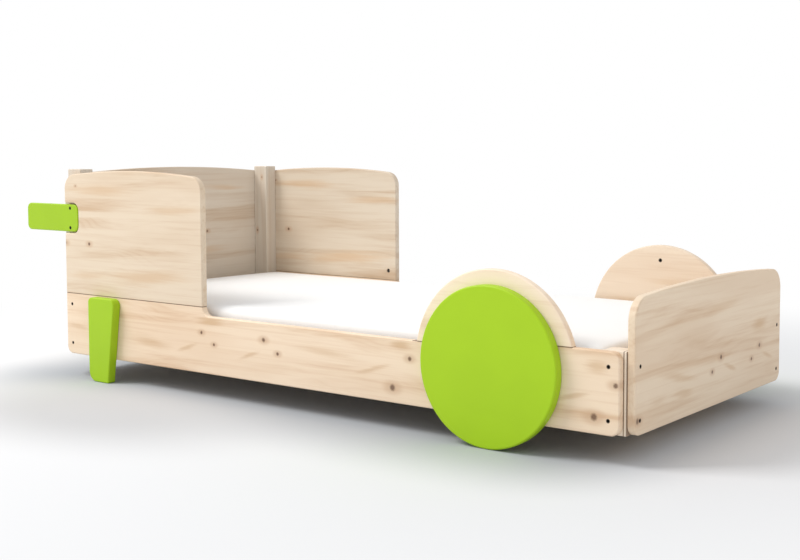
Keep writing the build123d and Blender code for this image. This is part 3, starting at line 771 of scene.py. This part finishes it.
bpy.context.scene.frame_set(1)
finer = mattress.modifiers.new("finer", "SUBSURF")
finer.levels = 1
finer.render_levels = 1
bpy.ops.object.modifier_apply(modifier="finer")
bpy.ops.object.shade_smooth()

# The cover's cotton: a plain weave with a little fuzz, and broad slack places.
thread_turn = 3600.0
pale_cotton = (0.975, 0.975, 0.975, 1)
shaded_cotton = (0.955, 0.955, 0.955, 1)
cover, tree, output = make_material("mattress_cotton")
place = add_node(tree, "ShaderNodeTexCoord")
parts = add_node(tree, "ShaderNodeSeparateXYZ")
tree.links.new(place.outputs["Object"], parts.inputs[0])
threads = []
for axis in ("X", "Y"):
    wave = calculate(tree, "SINE", calculate(tree, "MULTIPLY", parts.outputs[axis], thread_turn))
    threads.append(calculate(tree, "MULTIPLY_ADD", wave, 0.5, 0.5))
weave = calculate(tree, "MULTIPLY", threads[0], threads[1])
slack = stretched_noise(tree, place.outputs["Object"], (5, 8, 8), 3, 0.5)
fuzz = stretched_noise(tree, place.outputs["Object"], (240, 240, 240), 2, 0.6)
relief = calculate(tree, "MULTIPLY_ADD", slack, 14.0, calculate(tree, "ADD", weave, fuzz))
bump = add_node(tree, "ShaderNodeBump", {"Strength": 0.5, "Distance": 0.0004})
tree.links.new(relief, bump.inputs["Height"])
cloth_colour = tint(tree, soft_step(tree, fuzz, 0.3, 0.75), shaded_cotton, pale_cotton)
surface = add_node(
    tree, "ShaderNodeBsdfPrincipled", {"Roughness": 0.85, "Sheen Weight": 0.15, "IOR": 1.4}
)
tree.links.new(cloth_colour, surface.inputs["Base Color"])
tree.links.new(bump.outputs["Normal"], surface.inputs["Normal"])
tree.links.new(surface.outputs[0], output.inputs["Surface"])
mattress.data.materials.clear()
mattress.data.materials.append(cover)
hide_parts("mattress")
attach(mattress, "mattress")


# Fasteners. Black bolts and screws where they show, bright zinc ones under the bed, brass
# inserts in the posts, cams coloured near black as painted shade in their holes, and dowels of
# turned beech.
def metal_material(name, colour, roughness, worn):
    """Metal with fine scratches and spots of a second, worn colour."""
    material, tree, output = make_material(name)
    place = add_node(tree, "ShaderNodeTexCoord")
    spots = stretched_noise(tree, place.outputs["Object"], (300, 300, 300), 3, 0.6)
    fine = stretched_noise(tree, place.outputs["Object"], (2500, 2500, 600), 2, 0.5)
    shade = tint(tree, soft_step(tree, spots, 0.4, 0.75), colour, worn)
    bump = add_node(tree, "ShaderNodeBump", {"Strength": 0.15, "Distance": 0.0001})
    tree.links.new(fine, bump.inputs["Height"])
    surface = add_node(tree, "ShaderNodeBsdfPrincipled", {"Metallic": 1.0})
    tree.links.new(shade, surface.inputs["Base Color"])
    rough = soft_step(tree, spots, 0.3, 0.7, roughness, roughness + 0.15)
    tree.links.new(rough, surface.inputs["Roughness"])
    tree.links.new(bump.outputs["Normal"], surface.inputs["Normal"])
    tree.links.new(surface.outputs[0], output.inputs["Surface"])
    return material


black_steel = metal_material("black_steel", (0.014, 0.013, 0.012, 1), 0.5, (0.030, 0.028, 0.025, 1))
zinc_steel = metal_material("zinc_steel", (0.60, 0.60, 0.58, 1), 0.28, (0.50, 0.50, 0.49, 1))
brass = metal_material("brass", (0.71, 0.55, 0.26, 1), 0.3, (0.60, 0.45, 0.22, 1))
# Painted shade: the cams are near black, so that their holes read as shaded.
cam_shade_metal = metal_material("cam_shade_metal", (0.12, 0.11, 0.10, 1), 0.5, (0.08, 0.075, 0.07, 1))
for name, material in (
    ("rail_bolts", black_steel),
    ("end_board_bolts", black_steel),
    ("handle_screws", black_steel),
    ("wheel_screws", black_steel),
    ("foot_screws", zinc_steel),
    ("ledge_screws", zinc_steel),
    ("slat_screws", zinc_steel),
    ("connector_rods", zinc_steel),
    ("bolt_inserts", brass),
    ("connector_cams", cam_shade_metal),
):
    finish_node(name, material)
beech = pine_material("beech", "ZXY", (0.1, 0.3, 0.7), (0.76, 0.58, 0.40), 0.6)
finish_node("dowels", beech)
